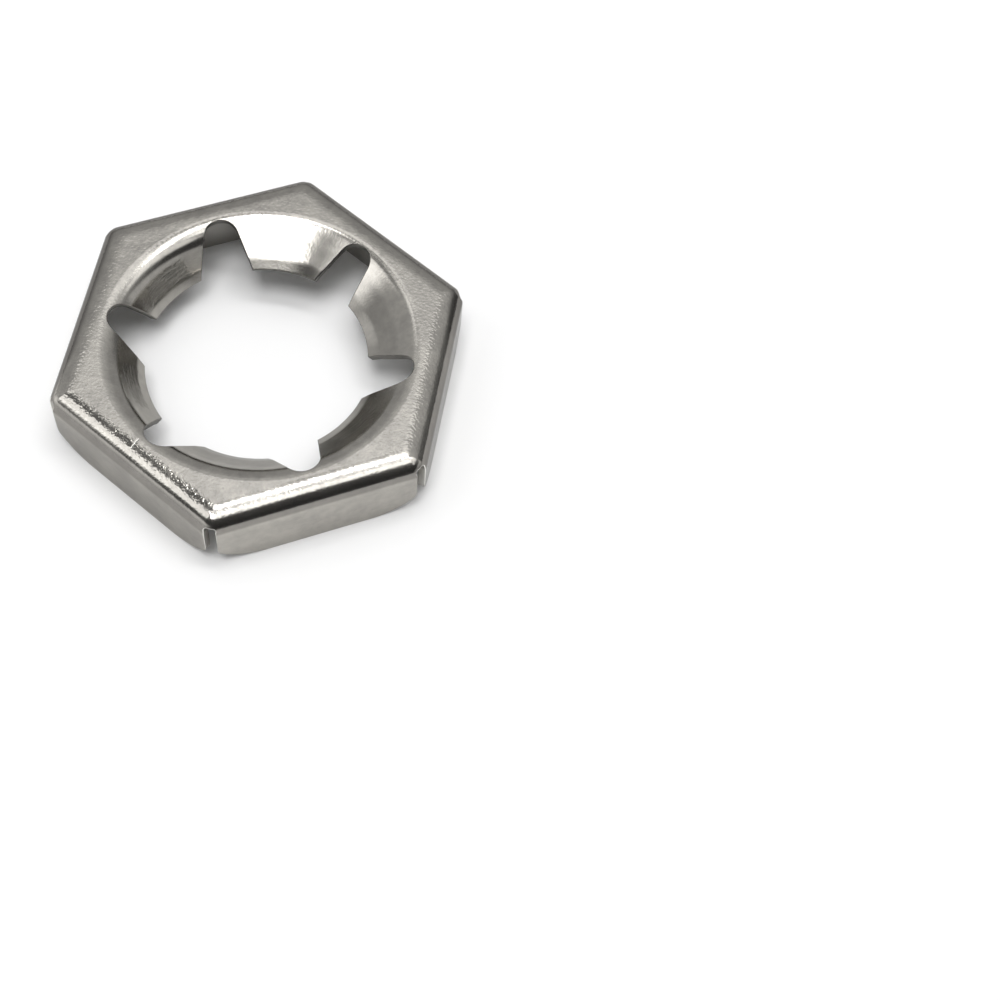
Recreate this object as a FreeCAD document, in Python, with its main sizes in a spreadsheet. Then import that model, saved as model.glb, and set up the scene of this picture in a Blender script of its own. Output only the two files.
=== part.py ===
import FreeCAD, Part
import math
import os

import Sketcher
from FreeCAD import Vector

# Hex lock nut pressed from one piece of stainless sheet.
#
# Frame: the thread axis is Z, the nut stands on the free edges of its flanges at Z = 0, and the
# flat bearing face is up. The middle of one side lies on +X, so one corner points to -Y.
# Lengths are millimetres and angles are degrees.

SIDES = 6
STEP = 360 / SIDES

DRIVING_SIZES = {
    # The hexagonal cup.
    "across_flats": 36.0,
    "nut_height": 7.2,
    "sheet_thickness": 0.8,
    "bend_inside": 1.1,
    # The slit that parts two flanges at each corner, and the metal left above it.
    "slit_width": 1.0,
    "slit_web": 0.75,
    "slit_round": 0.3,
    # The free edge of a flange: straight in the middle, rising to rounded ends.
    "edge_straight": 10.0,
    "edge_rise_radius": 6.5,
    "edge_corner_radius": 1.2,
    # The flat left between the bend and the funnel at the middle of a side.
    "face_rim": 0.7,
    # The funnel's rolled edge, and the six slots that part its tongues and end in the roll.
    "funnel_inside": 1.7,
    "slot_width": 3.3,
    "slot_inset": 0.55,
    # The tongues, all cut alike and each bent less than the one before, so that their tips climb
    # the thread. The length runs along the upper face, from the funnel's edge to the tip.
    "tongue_length": 6.0,
    "tongue_tip_width": 6.24,
    "first_tilt": 60.9,
    "tilt_step": 7.05,
    "first_tongue_angle": 150.0,
}

doc = FreeCAD.newDocument("hex_lock_nut")
sheet = doc.addObject("Spreadsheet::Sheet", "Sizes")
for row, (alias, size) in enumerate(DRIVING_SIZES.items(), start=1):
    sheet.set(f"A{row}", alias.replace("_", " "))
    sheet.set(f"B{row}", str(size))
    sheet.setAlias(f"B{row}", alias)
doc.recompute()

# Sizes that follow from the driving ones, as formulas of the sheet.
OUTER_HALF = "(Sizes.across_flats / 2)"
INNER_HALF = "(Sizes.across_flats / 2 - Sizes.sheet_thickness)"
UNDERSIDE = "(Sizes.nut_height - Sizes.sheet_thickness)"
BEND_OUTSIDE = "(Sizes.bend_inside + Sizes.sheet_thickness)"
BEND_START = f"({OUTER_HALF} - {BEND_OUTSIDE})"
SLIT_TOP = "(Sizes.nut_height - Sizes.slit_web)"
# Along a side, a flange ends where the slit cuts its outer surface. The tool that trims it ends
# inside the slit, clear of the next flange.
FLANGE_END = f"({OUTER_HALF} * tan(30) - Sizes.slit_width / 2 / cos(30))"
FLANGE_CLEAR = f"({OUTER_HALF} * tan(30) - Sizes.slit_width / 2)"
FUNNEL_RADIUS = f"({BEND_START} - Sizes.face_rim)"
FUNNEL_OUTSIDE = "(Sizes.funnel_inside + Sizes.sheet_thickness)"
SLOT_CENTRE = f"({FUNNEL_RADIUS} - Sizes.slot_inset - Sizes.slot_width / 2)"
# How far the sheet of a tongue laps onto the flat face. The lap stays short of the bend.
LAP = "(Sizes.face_rim / 2)"

nut = doc.addObject("PartDesign::Body", "lock_nut")
nut.Label = "lock_nut"
nut.Placement = FreeCAD.Placement()


def value(formula):
    """The present value of a formula of the sheet."""
    return float(sheet.evalExpression(formula))


def origin_part(role):
    """A plane or axis of the body's own origin."""
    return next(part for part in nut.Origin.OriginFeatures if part.Role == role)


def sketch_on(role, name):
    sketch = nut.newObject("Sketcher::SketchObject", name)
    sketch.AttachmentSupport = [(origin_part(role), "")]
    sketch.MapMode = "FlatFace"
    return sketch


def turn_about_axis(sketch, sketch_direction, angle):
    """Turn a sketch about the thread axis, which it sees along this direction of its own."""
    some_turn = FreeCAD.Rotation(sketch_direction, STEP)
    sketch.AttachmentOffset = FreeCAD.Placement(Vector(), some_turn)
    sketch.setExpression("AttachmentOffset.Rotation.Angle", angle)


def line(sketch, start, end):
    return sketch.addGeometry(Part.LineSegment(start, end))


def arc(sketch, centre, radius, start, end):
    """An arc that turns anticlockwise between two directions in radians."""
    circle = Part.Circle(centre, Vector(0, 0, 1), radius)
    return sketch.addGeometry(Part.ArcOfCircle(circle, start, end))


def relate(sketch, *relations):
    for relation in relations:
        sketch.addConstraint(Sketcher.Constraint(*relation))


def hold(sketch, kind, *where_and_formula):
    """Add a constraint whose size is a formula of the sheet."""
    *where, formula = where_and_formula
    index = sketch.addConstraint(Sketcher.Constraint(kind, *where, value(formula)))
    sketch.setExpression(f"Constraints[{index}]", formula)


def cut(name, sketch, depth=None):
    """A pocket along the sketch's normal, through everything unless a depth is given."""
    doc.recompute()
    volume_before = nut.Shape.Volume
    pocket = nut.newObject("PartDesign::Pocket", name)
    pocket.Profile = (sketch, [""])
    pocket.Reversed = True
    if depth is None:
        pocket.Type = "ThroughAll"
    else:
        pocket.setExpression("Length", depth)
    doc.recompute()
    if nut.Shape.Volume >= volume_before:
        raise RuntimeError(f"{name} takes nothing away")
    return pocket


def round_the_sides(name):
    """A pattern of six about the thread axis."""
    pattern = nut.newObject("PartDesign::PolarPattern", name)
    pattern.Axis = (origin_part("Z_Axis"), [""])
    pattern.Angle = 360
    pattern.Occurrences = SIDES
    return pattern


# The cup: a hexagonal block with rounded edges, hollowed to the thickness of the sheet.


def hexagon(name, half_flats):
    """A regular hexagon about the origin, with the middle of one side on the first axis."""
    sketch = sketch_on("XY_Plane", name)
    radius = value(half_flats) / math.cos(math.radians(STEP / 2))
    turns = [math.radians(STEP * (side - 0.5)) for side in range(SIDES + 1)]
    corners = [Vector(radius * math.cos(turn), radius * math.sin(turn), 0) for turn in turns]
    circle = sketch.addGeometry(Part.Circle(Vector(), Vector(0, 0, 1), radius), True)
    relate(sketch, ("Coincident", circle, 3, -1, 1))
    sides = [line(sketch, start, end) for start, end in zip(corners, corners[1:])]
    for side, following in zip(sides, sides[1:] + sides[:1]):
        relate(sketch, ("Coincident", side, 2, following, 1), ("PointOnObject", side, 2, circle))
    for side in sides[1:]:
        relate(sketch, ("Equal", sides[0], side))
    relate(sketch, ("Vertical", sides[0]))
    hold(sketch, "DistanceX", -1, 1, sides[0], 1, half_flats)
    return sketch


def round_cup_edges(name, feature, half_flats, radius):
    """Round the upright and the upper edges of the hexagonal prism of this size."""
    doc.recompute()
    corner = value(half_flats) / math.cos(math.radians(STEP / 2))
    near = 1e-4
    names = []
    for index, edge in enumerate(feature.Shape.Edges, start=1):
        points = [vertex.Point for vertex in edge.Vertexes]
        on_corners = all(abs(math.hypot(point.x, point.y) - corner) < near for point in points)
        if on_corners and max(point.z for point in points) > near:
            names.append(f"Edge{index}")
    fillet = nut.newObject("PartDesign::Fillet", name)
    fillet.Base = (feature, names)
    fillet.setExpression("Radius", radius)


block = nut.newObject("PartDesign::Pad", "Block")
block.Profile = (hexagon("OuterOutline", OUTER_HALF), [""])
block.setExpression("Length", "Sizes.nut_height")
round_cup_edges("OuterBend", block, OUTER_HALF, BEND_OUTSIDE)

hollow = cut("Hollow", hexagon("InnerOutline", INNER_HALF), UNDERSIDE)
round_cup_edges("InnerBend", hollow, INNER_HALF, "Sizes.bend_inside")

opening_outline = sketch_on("XY_Plane", "OpeningOutline")
opening_circle = Part.Circle(Vector(), Vector(0, 0, 1), value(FUNNEL_RADIUS))
funnel_edge = opening_outline.addGeometry(opening_circle)
relate(opening_outline, ("Coincident", funnel_edge, 3, -1, 1))
hold(opening_outline, "Radius", funnel_edge, FUNNEL_RADIUS)
cut("Opening", opening_outline)


# The tongues: one after another round the ring, each a little flatter.


def tilt(place):
    """How steeply a tongue points down."""
    return f"(Sizes.first_tilt - {place % SIDES} * Sizes.tilt_step)"


def straight_length(place):
    """What the rolled edge leaves of a tongue's length."""
    return f"(Sizes.tongue_length - {FUNNEL_OUTSIDE} * {tilt(place)} * pi / 180)"


def tip_radius(place):
    """How far the upper edge of a tongue's tip lies from the thread axis."""
    rolled = f"{FUNNEL_OUTSIDE} * sin({tilt(place)})"
    return f"({FUNNEL_RADIUS} - {rolled} - {straight_length(place)} * cos({tilt(place)}))"


def tongue_profile(place):
    """The sheet along one tongue: a flat lap on the face, a roll, and a straight square tip."""
    sketch = sketch_on("XZ_Plane", f"TongueProfile{place}")
    turn_about_axis(sketch, Vector(0, 1, 0), f"Sizes.first_tongue_angle + {place * STEP}")
    edge = value(FUNNEL_RADIUS)
    top = value("Sizes.nut_height")
    gauge = value("Sizes.sheet_thickness")
    lap_end = edge + value(LAP)
    outer_radius = value(FUNNEL_OUTSIDE)
    inner_radius = value("Sizes.funnel_inside")
    down = math.radians(value(tilt(place)))
    centre = Vector(edge, top - outer_radius, 0)
    square = Vector(-math.sin(down), math.cos(down), 0)
    along = Vector(-math.cos(down), -math.sin(down), 0) * value(straight_length(place))
    outer_end = centre + square * outer_radius
    inner_end = centre + square * inner_radius
    upright = math.pi / 2

    face = line(sketch, Vector(lap_end, top, 0), Vector(edge, top, 0))
    outer_roll = arc(sketch, centre, outer_radius, upright, upright + down)
    outer = line(sketch, outer_end, outer_end + along)
    tip = line(sketch, outer_end + along, inner_end + along)
    inner = line(sketch, inner_end + along, inner_end)
    inner_roll = arc(sketch, centre, inner_radius, upright, upright + down)
    under = line(sketch, Vector(edge, top - gauge, 0), Vector(lap_end, top - gauge, 0))
    lap = line(sketch, Vector(lap_end, top - gauge, 0), Vector(lap_end, top, 0))
    relate(sketch,
           ("Tangent", face, 2, outer_roll, 1),
           ("Tangent", outer_roll, 2, outer, 1),
           ("Coincident", outer, 2, tip, 1),
           ("Perpendicular", outer, tip),
           ("Coincident", tip, 2, inner, 1),
           ("Tangent", inner, 2, inner_roll, 2),
           ("Tangent", inner_roll, 1, under, 1),
           ("Coincident", inner_roll, 3, outer_roll, 3),
           ("Coincident", under, 2, lap, 1),
           ("Coincident", lap, 2, face, 1),
           ("Horizontal", face),
           ("Vertical", lap))
    hold(sketch, "DistanceY", -1, 1, face, 1, "Sizes.nut_height")
    hold(sketch, "DistanceX", -1, 1, face, 2, FUNNEL_RADIUS)
    hold(sketch, "DistanceX", face, 2, face, 1, LAP)
    hold(sketch, "Radius", outer_roll, FUNNEL_OUTSIDE)
    hold(sketch, "Radius", inner_roll, "Sizes.funnel_inside")
    hold(sketch, "DistanceX", outer, 2, face, 2, f"{FUNNEL_RADIUS} - {tip_radius(place)}")
    hold(sketch, "Distance", outer, straight_length(place))
    return sketch


def tip_corner(place):
    """A corner of a tongue's tip, from the slot beside it: out along the slot, and across it."""
    half = "(Sizes.tongue_tip_width / 2)"
    reach = f"sqrt({tip_radius(place)} ^ 2 - {half} ^ 2)"
    out = f"({reach} * cos(30) + {half} * sin(30))"
    across = f"({reach} * sin(30) - {half} * cos(30))"
    return out, across


def slot_side(sketch, round_end, end, place):
    """A side of a slot, from one end of its round end to just past the tip of a tongue. The
    second end of the arc leads to the tongue ahead, the first to the tongue behind."""
    hand = 1 if end == 2 else -1
    out, across = tip_corner(place)
    centre = Vector(value(SLOT_CENTRE), 0, 0)
    corner = Vector(value(out), hand * value(across), 0)
    radius = value("Sizes.slot_width / 2")
    towards = corner - centre
    square = hand * (math.atan2(abs(towards.y), towards.x) - math.acos(radius / towards.Length))
    touch = centre + Vector(math.cos(square), math.sin(square), 0) * radius
    beyond = (corner - touch).normalize() * value("Sizes.sheet_thickness")

    side = line(sketch, touch, corner + beyond)
    mark = sketch.addGeometry(Part.Point(corner), True)
    relate(sketch, ("Tangent", round_end, end, side, 1), ("PointOnObject", mark, 1, side))
    hold(sketch, "DistanceX", -1, 1, mark, 1, out)
    span = (-1, 1, mark, 1) if hand > 0 else (mark, 1, -1, 1)
    hold(sketch, "DistanceY", *span, across)
    hold(sketch, "Distance", mark, 1, side, 2, "Sizes.sheet_thickness")
    return side


def slot_outline(place):
    """The slot after a tongue: round at its outer end, and open to the middle of the nut."""
    sketch = sketch_on("XY_Plane", f"SlotOutline{place}")
    turn_about_axis(sketch, Vector(0, 0, 1),
                    f"Sizes.first_tongue_angle + {(place + 0.5) * STEP}")
    centre = Vector(value(SLOT_CENTRE), 0, 0)
    quarter = math.pi / 2
    round_end = arc(sketch, centre, value("Sizes.slot_width / 2"), -quarter, quarter)
    relate(sketch, ("PointOnObject", round_end, 3, -1))
    hold(sketch, "Radius", round_end, "Sizes.slot_width / 2")
    hold(sketch, "DistanceX", -1, 1, round_end, 3, SLOT_CENTRE)
    ahead = slot_side(sketch, round_end, 2, place + 1)
    behind = slot_side(sketch, round_end, 1, place)
    to_axis = line(sketch, sketch.getPoint(ahead, 2), Vector())
    from_axis = line(sketch, Vector(), sketch.getPoint(behind, 2))
    relate(sketch,
           ("Coincident", ahead, 2, to_axis, 1),
           ("Coincident", to_axis, 2, -1, 1),
           ("Coincident", from_axis, 1, -1, 1),
           ("Coincident", from_axis, 2, behind, 2))
    return sketch


for place in range(SIDES):
    profile = tongue_profile(place)
    tongue = nut.newObject("PartDesign::Revolution", f"Tongue{place}")
    tongue.Profile = (profile, [""])
    tongue.ReferenceAxis = (profile, ["V_Axis"])
    tongue.Angle = STEP
    tongue.Midplane = True
    doc.recompute()

for place in range(SIDES):
    cut(f"Slot{place}", slot_outline(place))


# The flanges: parted at the corners, and trimmed at their ends.


def slit_outline():
    """A slit seen square to its corner: open below, with two rounded corners at the top."""
    sketch = sketch_on("XZ_Plane", "SlitOutline")
    sketch.setExpression("AttachmentOffset.Base.z", f"{BEND_START} / cos(30)")
    half = value("Sizes.slit_width") / 2
    top = value(SLIT_TOP)
    turn = value("Sizes.slit_round")
    low = -value("Sizes.sheet_thickness")
    quarter = math.pi / 2

    left = line(sketch, Vector(-half, low, 0), Vector(-half, top - turn, 0))
    left_turn = arc(sketch, Vector(turn - half, top - turn, 0), turn, quarter, math.pi)
    over = line(sketch, Vector(turn - half, top, 0), Vector(half - turn, top, 0))
    right_turn = arc(sketch, Vector(half - turn, top - turn, 0), turn, 0, quarter)
    right = line(sketch, Vector(half, top - turn, 0), Vector(half, low, 0))
    below = line(sketch, Vector(half, low, 0), Vector(-half, low, 0))
    relate(sketch,
           ("Tangent", left, 2, left_turn, 2),
           ("Tangent", left_turn, 1, over, 1),
           ("Tangent", over, 2, right_turn, 2),
           ("Tangent", right_turn, 1, right, 1),
           ("Coincident", right, 2, below, 1),
           ("Coincident", below, 2, left, 1),
           ("Vertical", left),
           ("Vertical", right),
           ("Horizontal", over),
           ("Equal", left_turn, right_turn),
           ("Symmetric", below, 1, below, 2, -2))
    hold(sketch, "Radius", left_turn, "Sizes.slit_round")
    hold(sketch, "DistanceX", below, 2, below, 1, "Sizes.slit_width")
    hold(sketch, "DistanceY", -1, 1, over, 1, SLIT_TOP)
    hold(sketch, "DistanceY", below, 1, -1, 1, "Sizes.sheet_thickness")
    return sketch


def flange_end_outline():
    """What is trimmed off one end of a flange: the free edge rises and rounds into the slit."""
    sketch = sketch_on("YZ_Plane", "FlangeEndOutline")
    sketch.setExpression("AttachmentOffset.Base.z", BEND_START)
    flat = value("Sizes.edge_straight / 2")
    rise = value("Sizes.edge_rise_radius")
    corner = value("Sizes.edge_corner_radius")
    end = value(FLANGE_END)
    clear = value(FLANGE_CLEAR)
    low = -value("Sizes.sheet_thickness")
    across = end - corner - flat
    height = rise - math.sqrt((rise - corner) ** 2 - across ** 2)
    lean = math.atan2(height - rise, across)

    start = line(sketch, Vector(flat, low, 0), Vector(flat, 0, 0))
    rising = arc(sketch, Vector(flat, rise, 0), rise, -math.pi / 2, lean)
    rounding = arc(sketch, Vector(end - corner, height, 0), corner, lean, 0)
    into_slit = line(sketch, Vector(end, height, 0), Vector(clear, height, 0))
    down = line(sketch, Vector(clear, height, 0), Vector(clear, low, 0))
    below = line(sketch, Vector(clear, low, 0), Vector(flat, low, 0))
    relate(sketch,
           ("Coincident", start, 2, rising, 1),
           ("Tangent", rising, 2, rounding, 1),
           ("Coincident", rounding, 2, into_slit, 1),
           ("Coincident", into_slit, 2, down, 1),
           ("Coincident", down, 2, below, 1),
           ("Coincident", below, 2, start, 1),
           ("Vertical", start),
           ("Vertical", down),
           ("Horizontal", into_slit),
           ("Horizontal", below),
           ("PointOnObject", start, 2, -1),
           ("Vertical", start, 2, rising, 3),
           ("Horizontal", rounding, 2, rounding, 3))
    hold(sketch, "DistanceX", -1, 1, start, 1, "Sizes.edge_straight / 2")
    hold(sketch, "Radius", rising, "Sizes.edge_rise_radius")
    hold(sketch, "Radius", rounding, "Sizes.edge_corner_radius")
    hold(sketch, "DistanceX", -1, 1, into_slit, 1, FLANGE_END)
    hold(sketch, "DistanceX", -1, 1, down, 1, FLANGE_CLEAR)
    hold(sketch, "DistanceY", start, 1, -1, 1, "Sizes.sheet_thickness")
    return sketch


slit = cut("Slit", slit_outline())
slits = round_the_sides("Slits")
slits.Originals = [slit]
nut.Tip = slits
doc.recompute()

flange_end = cut("FlangeEnd", flange_end_outline())
flange_ends = nut.newObject("PartDesign::MultiTransform", "FlangeEnds")
flange_ends.Originals = [flange_end]
other_end = nut.newObject("PartDesign::Mirrored", "OtherEnd")
other_end.MirrorPlane = (origin_part("XZ_Plane"), [""])
flange_ends.Transformations = [other_end, round_the_sides("EverySide")]
nut.Tip = flange_ends
doc.recompute()

for part in doc.Objects:
    if "Invalid" in part.State or "Error" in part.State:
        raise RuntimeError(f"{part.Name} failed: {part.State}")
if nut.Shape.isNull() or not nut.Shape.isValid() or len(nut.Shape.Solids) != 1:
    raise RuntimeError("lock_nut is not one valid solid")

os.makedirs("parts", exist_ok=True)
nut.Shape.exportStep("parts/lock_nut.step")
print(f"lock_nut: {nut.Shape.Volume:.1f} mm3 of sheet, {len(nut.Shape.Faces)} faces")
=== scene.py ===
# %% [markdown]
# # A hex lock nut pressed from sheet
# The real part starts as a flat blank of stainless sheet. A press folds six flanges down, and rolls
# the rim of the middle hole down into six spring tongues. It could be cut from a thick block, but a
# bent sheet keeps the same thickness everywhere, and that is hard to get by cutting. So this lesson
# goes the way of the press: draw the blank, triangulate it once, and fold every point of it with a
# formula.
# The CAD model is loaded first. It gives the true size.

import math

import bpy
import numpy as np
from mathutils import Matrix, Vector
from mathutils.geometry import delaunay_2d_cdt


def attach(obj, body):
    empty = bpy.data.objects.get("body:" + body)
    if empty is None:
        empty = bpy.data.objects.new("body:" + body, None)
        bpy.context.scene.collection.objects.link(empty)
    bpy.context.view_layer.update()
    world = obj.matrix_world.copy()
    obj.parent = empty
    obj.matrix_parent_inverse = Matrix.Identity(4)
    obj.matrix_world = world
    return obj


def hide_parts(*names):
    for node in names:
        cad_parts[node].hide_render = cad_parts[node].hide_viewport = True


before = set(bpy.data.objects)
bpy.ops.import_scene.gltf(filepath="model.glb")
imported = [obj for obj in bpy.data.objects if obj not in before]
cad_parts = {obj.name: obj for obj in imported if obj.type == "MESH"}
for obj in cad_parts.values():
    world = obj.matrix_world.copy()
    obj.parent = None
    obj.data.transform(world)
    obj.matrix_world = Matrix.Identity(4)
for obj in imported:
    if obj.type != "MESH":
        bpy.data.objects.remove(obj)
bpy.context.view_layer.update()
MM = 0.001

# %% [markdown]
# ## The sizes
# These are the sizes of the CAD model, in millimetres, apart from the two radii of the bend and
# the tops of the slits, which follow the photograph within the CAD model's box. The flanges stand
# on Z = 0, the flat face is up, and the middle of one side lies on +X. A turn of 60 degrees leads
# to the next side. Written down once, each size can be changed in one place.

# %% Sizes of the folded sheet
STEP = math.radians(60)
HALF_FLATS = 18.0
HEIGHT = 7.2
GAUGE = 0.8
# The bend along a side: an easy arc first, then a tight one.
EASY_RADIUS = 3.7
EASY_TURN = math.radians(24)
TIGHT_RADIUS = 1.8
# Round the corners the sheet fans out, from this far past the start of the bend.
FAN_START = 1.0
FAN_SETBACK = 0.1
# The slits at the corners, and the flanges' free edges.
SLIT_HALF = 0.5
SLIT_BELOW_FACE = 1.0
SLIT_TOP = HEIGHT - SLIT_BELOW_FACE
SLIT_ROUND = 0.3
EDGE_FLAT = 5.0
EDGE_RISE = 6.5
EDGE_CORNER = 1.2
# The funnel, the slots and the tongues.
FUNNEL = 15.4
ROLL = 2.5
SLOT_HALF = 1.65
SLOT_INSET = 0.55
SLOT_CENTRE = FUNNEL - SLOT_INSET - SLOT_HALF
TONGUE = 6.0
TIP_HALF = 3.12
STEEPEST = 60.9
EASING = 7.05
TILTS = [math.radians(STEEPEST - EASING * number) for number in range(6)]
FIRST_TONGUE = math.radians(150)
print("tongues point down by", [round(math.degrees(t), 1) for t in TILTS], "degrees")

# %% [markdown]
# ## How a tongue runs
# Seen in section, a tongue leaves the flat face, rolls over and runs nearly straight to its tip.
# The punch that bends it presses on its middle, so the last bit at the tip stays a little
# steeper. The slope along the sheet is written down first, and adding up small steps of it gives
# the curve, which is how any bent strip can be drawn. The middle is then eased until the tip is
# back in place.

# %% A tongue's section
TONGUE_SAMPLES, BEND_SAMPLES = 240, 4001
ALONG = np.linspace(0, TONGUE, TONGUE_SAMPLES)
TIP_BAND = 1.3
TIP_CURL = math.radians(7)
CURL_BEFORE = 0.15
CURL_AFTER = 0.25
ROUNDS = 6


def ease(value, low, high):
    """0 below low, 1 above high, and a smooth change between."""
    share = np.clip((value - low) / (high - low), 0, 1)
    return share * share * (3 - 2 * share)


def bent_strip(slope):
    """Radius and height of the upper face along a tongue, from its slope."""
    mean_slope = (slope[1:] + slope[:-1]) / 2
    step = np.diff(ALONG)
    radius = FUNNEL - np.concatenate([[0], np.cumsum(np.cos(mean_slope) * step)])
    height = HEIGHT - np.concatenate([[0], np.cumsum(np.sin(mean_slope) * step)])
    return radius, height


def section(tilt):
    """Slope, radius and height of the upper face along a tongue, from the funnel to the tip."""
    wanted = bent_strip(np.minimum(ALONG / ROLL, tilt))[1][-1]
    band_start = TONGUE - TIP_BAND
    curl = TIP_CURL * ease(ALONG, band_start - CURL_BEFORE, band_start + CURL_AFTER)
    eased = tilt
    for _ in range(ROUNDS):
        slope = np.minimum(ALONG / ROLL, eased) + curl
        radius, height = bent_strip(slope)
        eased += (height[-1] - wanted) / (TONGUE * math.cos(tilt))
    return slope, radius, height


SECTIONS = [section(tilt) for tilt in TILTS]
print("tips lie at", [(round(float(r[-1]), 2), round(float(z[-1]), 2)) for _, r, z in SECTIONS])

# %% [markdown]
# ## How a flange is bent
# Along the sides the sheet starts to turn gently, then goes round a tight radius into the flange.
# The die's rounded lip does that. The two arcs are written as a slope along the sheet too.

# %% The section across a side
EASY_LENGTH = EASY_RADIUS * EASY_TURN
BENT_LENGTH = EASY_LENGTH + TIGHT_RADIUS * (math.pi / 2 - EASY_TURN)
BEND_REACH = EASY_RADIUS * math.sin(EASY_TURN) + TIGHT_RADIUS * (1 - math.sin(EASY_TURN))
BEND_START = HALF_FLATS - BEND_REACH
LONGEST = 10
PAST = np.linspace(0, LONGEST, BEND_SAMPLES)
TURNED = np.where(PAST < EASY_LENGTH, PAST / EASY_RADIUS,
                  np.minimum(EASY_TURN + (PAST - EASY_LENGTH) / TIGHT_RADIUS, math.pi / 2))
MEAN_TURN = (TURNED[1:] + TURNED[:-1]) / 2
REACHED = np.concatenate([[0], np.cumsum(np.cos(MEAN_TURN) * np.diff(PAST))])
DROPPED = np.concatenate([[0], np.cumsum(np.sin(MEAN_TURN) * np.diff(PAST))])
FAN_REACH = float(np.interp(FAN_START, PAST, REACHED))
FAN_OUT = BEND_START + FAN_START
HALF_SIDE = FAN_OUT * math.tan(STEP / 2) - FAN_SETBACK
FREE_EDGE = float(np.interp(HEIGHT, DROPPED, PAST))
print("the bend starts", round(BEND_REACH, 2), "mm inside the flats")

# %% [markdown]
# ## Folding a point
# Any point of the flat blank has one place on the folded nut. Outside a hexagon near the start of
# the bend, the distance to it says how far round the bend a point goes. Because the nearest point
# of a hexagon is its corner for a whole fan of places, the rounded corners of the nut come out by
# themselves. Inside the funnel, the distance to the axis says how far along its tongue a point is.

# %% The folding formula


def tongue_number(turn):
    """Which of the six tongues lies in this direction."""
    return np.floor(((turn - FIRST_TONGUE + STEP / 2) % math.tau) / STEP).astype(int) % 6


def fold(points):
    """Places and outward normals on the upper face, for points of the blank."""
    x, y = points[:, 0], points[:, 1]
    radius, turn = np.hypot(x, y), np.arctan2(y, x)
    side = np.round(turn / STEP) * STEP
    out = x * np.cos(side) + y * np.sin(side)
    along = -x * np.sin(side) + y * np.cos(side)
    fanned = out > FAN_OUT
    nearest = np.clip(along, -HALF_SIDE, HALF_SIDE)
    beyond = np.where(fanned, out - FAN_OUT, 1)
    aside = np.where(fanned, along - nearest, 0)
    distance = np.hypot(beyond, aside)
    past = np.where(fanned, distance + FAN_START, np.maximum(out - BEND_START, 0))
    turned, reached, dropped = (np.interp(past, PAST, line) for line in (TURNED, REACHED, DROPPED))
    share_out, share_along = beyond / distance, aside / distance
    flat_out = np.where(fanned, BEND_START + FAN_REACH + (reached - FAN_REACH) * share_out,
                        np.where(past > 0, BEND_START + reached, out))
    flat_along = np.where(fanned, nearest + (reached - FAN_REACH) * share_along, along)
    lean_out, lean_along = np.sin(turned) * share_out, np.sin(turned) * share_along

    def back(a, b):
        return a * np.cos(side) - b * np.sin(side), a * np.sin(side) + b * np.cos(side)

    spot = np.column_stack([*back(flat_out, flat_along), HEIGHT - dropped])
    normal = np.column_stack([*back(lean_out, lean_along), np.cos(turned)])

    tongue = tongue_number(turn)
    for number, (slope, radii, heights) in enumerate(SECTIONS):
        here = (tongue == number) & (radius < FUNNEL)
        run = FUNNEL - radius[here]
        r, z, a = (np.interp(run, ALONG, line) for line in (radii, heights, slope))
        past_tip = np.maximum(run - TONGUE, 0)
        r, z = r - past_tip * np.cos(a), z - past_tip * np.sin(a)
        away = np.column_stack([np.cos(turn[here]), np.sin(turn[here])])
        spot[here] = np.column_stack([away * r[:, None], z])
        normal[here] = np.column_stack([-away * np.sin(a)[:, None], np.cos(a)])
    return spot, normal


print("a point 17 mm out on the blank goes to", fold(np.array([[17.0, 0.0]]))[0].round(2)[0])

# %% [markdown]
# ## Drawing the blank
# The outline is easier to say on the finished nut, where the slits and slots were measured, so each
# point of it is given there and then unfolded to the blank.

# %% Helpers for outlines
COARSE, FINE = 0.35, 0.25


def rotated(point, turn):
    """Turn a point of the plan round the axis."""
    return np.array([point[0] * math.cos(turn) - point[1] * math.sin(turn),
                     point[0] * math.sin(turn) + point[1] * math.cos(turn)])


def spaced(start, end, gap):
    """Points from start up to, but not including, end."""
    start, end = np.asarray(start, float), np.asarray(end, float)
    count = max(1, round(float(np.linalg.norm(end - start)) / gap))
    return [start + (end - start) * i / count for i in range(count)]


def arc(centre, radius, start, end, count):
    """Points along an arc, without its last one."""
    return [np.array([centre[0] + radius * math.cos(t), centre[1] + radius * math.sin(t)])
            for t in np.linspace(start, end, count + 1)[:-1]]


print("an arc of four steps has", len(arc((0, 0), 1, 0, math.pi / 2, 4)), "points and its end")

# %% [markdown]
# A flange ends in a straight middle and rises in an arc to each corner, where a narrow slit with
# rounded ends parts it from the next flange.

# %% Outline of the flanges
EDGE_STEPS, CORNER_STEPS, SLIT_STEPS = 14, 8, 7


def round_bend(height):
    """How far along the sheet and how far outwards the bend goes down to this height."""
    past = float(np.interp(HEIGHT - height, DROPPED, PAST))
    return past - FAN_START, float(np.interp(past, PAST, REACHED)) - FAN_REACH


def on_blank(side, along, height):
    """Unfold a point of a flange, given along its side and above the floor."""
    hand = math.copysign(1, along)
    distance, reach = round_bend(height)
    fan = math.asin(min(max(abs(along) - HALF_SIDE, 0) / reach, 1))
    out = FAN_OUT + distance * math.cos(fan)
    sideways = hand * (min(abs(along), HALF_SIDE) + distance * math.sin(fan))
    return rotated((out, sideways), side * STEP)


def beside_slit(gap, height):
    """How far along its side a flange reaches, at a distance from the middle of the slit."""
    reach = round_bend(height)[1]
    return HALF_SIDE + reach * math.sin(STEP / 2 - math.asin(min(gap / reach, 1)))


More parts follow.
